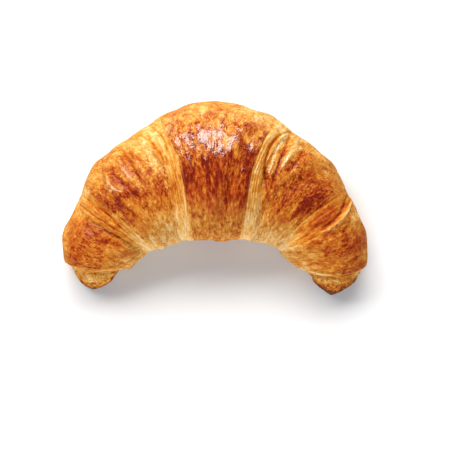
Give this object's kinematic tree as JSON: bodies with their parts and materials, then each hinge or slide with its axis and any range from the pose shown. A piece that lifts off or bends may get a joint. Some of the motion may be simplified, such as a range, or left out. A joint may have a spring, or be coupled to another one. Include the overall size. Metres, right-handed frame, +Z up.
{
  "type": "croissant",
  "caption": "Crescent croissant of rolled, layered dough: a glazed crown and overlapping wraps narrowing to two thin tips, flat underneath.",
  "frame": {"origin": "on the surface it lies on, under the middle of the croissant's box", "axes": "+Z up, +X across from the left tip to the right tip, +Y towards the outside of the crescent, so both tips point towards -Y"},
  "size_m": [0.1406, 0.0904, 0.048],
  "materials": {
    "crust": "golden-brown pastry crust with a satin egg glaze, darker on the crown and pale where the dough's layers show"
  },
  "bodies": {
    "root": {"croissant": "crust"}
  },
  "joints": []
}
